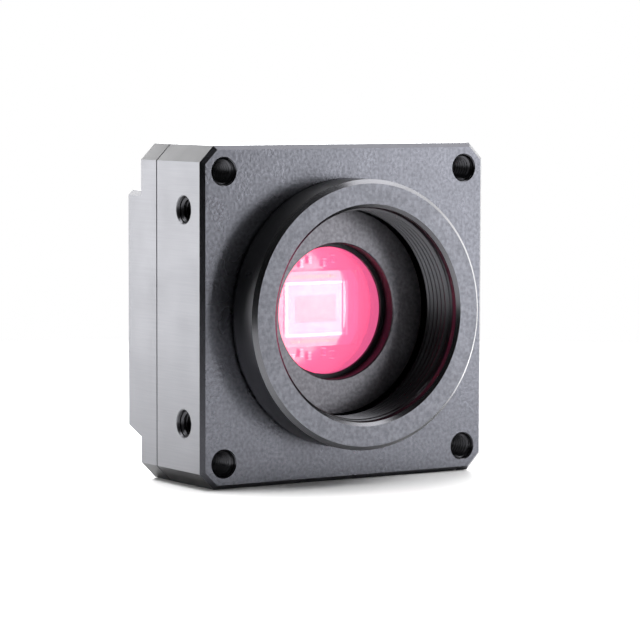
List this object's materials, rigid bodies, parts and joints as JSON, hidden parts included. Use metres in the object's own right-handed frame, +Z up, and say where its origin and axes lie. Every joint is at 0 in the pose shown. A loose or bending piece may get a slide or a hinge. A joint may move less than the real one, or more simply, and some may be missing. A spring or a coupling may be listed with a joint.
{
  "type": "astronomy camera",
  "caption": "Compact square astronomy camera body with a screw-in C/CS lens mount ring, a pink-coated window over its image sensor, and a stepped rear cover with a USB-C socket.",
  "frame": {"origin": "centre of the bottom of the camera's box, on the surface it stands on", "axes": "+Z up, -Y out of the lens mount along the lens axis, +X to the right when looking at the lens mount"},
  "size_m": [0.04, 0.0228, 0.04],
  "materials": {
    "anodised_aluminium": "black anodised, bead blasted, fine milling lines on the side faces",
    "anodised_ring": "black anodised, turned",
    "black_metal": "black anodised, matt",
    "seal_rubber": "matt",
    "filter_glass": "polished, with a coating that reflects pink",
    "clear_glass": "polished",
    "sensor_ceramic": "pale ceramic",
    "sensor_silicon": "polished silicon with a colour filter array",
    "board_laminate": "solder mask over copper",
    "brass": "turned",
    "screw_steel": "blackened steel",
    "bright_steel": "plated",
    "black_plastic": "moulded",
    "thermal_pad": "soft silicone sheet"
  },
  "bodies": {
    "camera_body": {"front_housing": "anodised_aluminium", "rear_cover": "anodised_aluminium", "body_gasket": "seal_rubber", "window_filter": "filter_glass", "filter_retainer": "black_metal", "sensor_package": "sensor_ceramic", "sensor_die": "sensor_silicon", "sensor_cover_glass": "clear_glass", "sensor_board": "board_laminate", "interface_board": "board_laminate", "usb_shell": "bright_steel", "usb_tongue": "black_plastic", "processor_chip": "black_plastic", "memory_chip": "black_plastic", "oscillator": "bright_steel", "power_inductor": "black_plastic", "board_connector_socket": "black_plastic", "board_connector_plug": "black_plastic", "processor_thermal_pad": "thermal_pad", "memory_thermal_pad": "thermal_pad", "board_spacer_1": "brass", "board_standoff_1": "brass", "board_screw_1": "bright_steel", "cover_screw_1": "screw_steel", "board_spacer_2": "brass", "board_standoff_2": "brass", "board_screw_2": "bright_steel", "cover_screw_2": "screw_steel", "board_spacer_3": "brass", "board_standoff_3": "brass", "board_screw_3": "bright_steel", "cover_screw_3": "screw_steel", "board_spacer_4": "brass", "board_standoff_4": "brass", "board_screw_4": "bright_steel", "cover_screw_4": "screw_steel"},
    "ring_carrier": {"mount_seal_ring": "seal_rubber"},
    "mount_ring": {"lens_mount_ring": "anodised_ring"}
  },
  "joints": [
    {"name": "ring_travel", "type": "slide", "parent": "camera_body", "child": "ring_carrier", "axis": [0, -1, 0], "range_m": [0, 0.00159]},
    {"name": "ring_turn", "type": "hinge", "parent": "ring_carrier", "child": "mount_ring", "pos_m": [0, -0.00636, 0.02], "axis": [0, -1, 0], "range_deg": [0, 720]}
  ],
  "couplings": [
    {"joint": "ring_travel", "follows": "ring_turn", "m_per_rad": 0.00012633}
  ]
}
